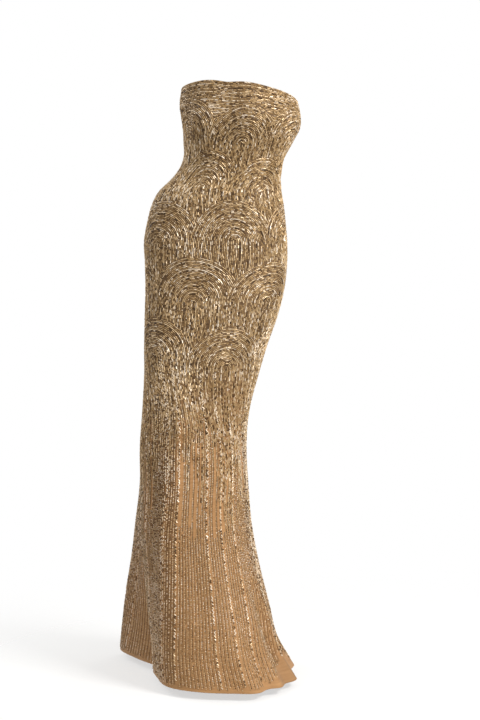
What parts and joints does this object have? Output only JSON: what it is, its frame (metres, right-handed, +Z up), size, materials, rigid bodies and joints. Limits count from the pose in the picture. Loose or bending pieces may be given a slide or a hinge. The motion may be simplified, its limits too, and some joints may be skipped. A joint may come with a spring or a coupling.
{
  "type": "strapless column gown",
  "caption": "Strapless floor-length column gown, hollow and open at neckline and hem, in a worn standing pose, with a concealed back zip.",
  "frame": {"origin": "middle of the gown's hollow at the bust line, where the wearer holds it up", "axes": "+Z up along the gown's length, -Y out of its front, +X to the right of someone who looks at its front"},
  "size_m": [0.4424, 0.4866, 1.4035],
  "materials": {
    "beaded_mesh": "tan mesh with rows of champagne, gold, silver and dark bronze beads and sequins",
    "lining_satin": "plain tan lining with a soft sheen",
    "zip_tape": "matt woven tan tape",
    "zip_metal": "satin gold-coloured metal"
  },
  "bodies": {
    "gown": {"front_panel": "beaded_mesh", "back_left_panel": "beaded_mesh", "back_right_panel": "beaded_mesh", "lining_front": "lining_satin", "lining_back": "lining_satin", "zip_tape_left": "zip_tape", "zip_tape_right": "zip_tape", "zip_slider": "zip_metal"},
    "zip_pull": {"zip_pull_tab": "zip_metal"}
  },
  "joints": [
    {"name": "zip_pull_hinge", "type": "hinge", "parent": "gown", "child": "zip_pull", "pos_m": [0.02914, 0.0998, 0.01237], "axis": [0.9599, -0.2786, 0.0307], "range_deg": [0, 165]}
  ]
}
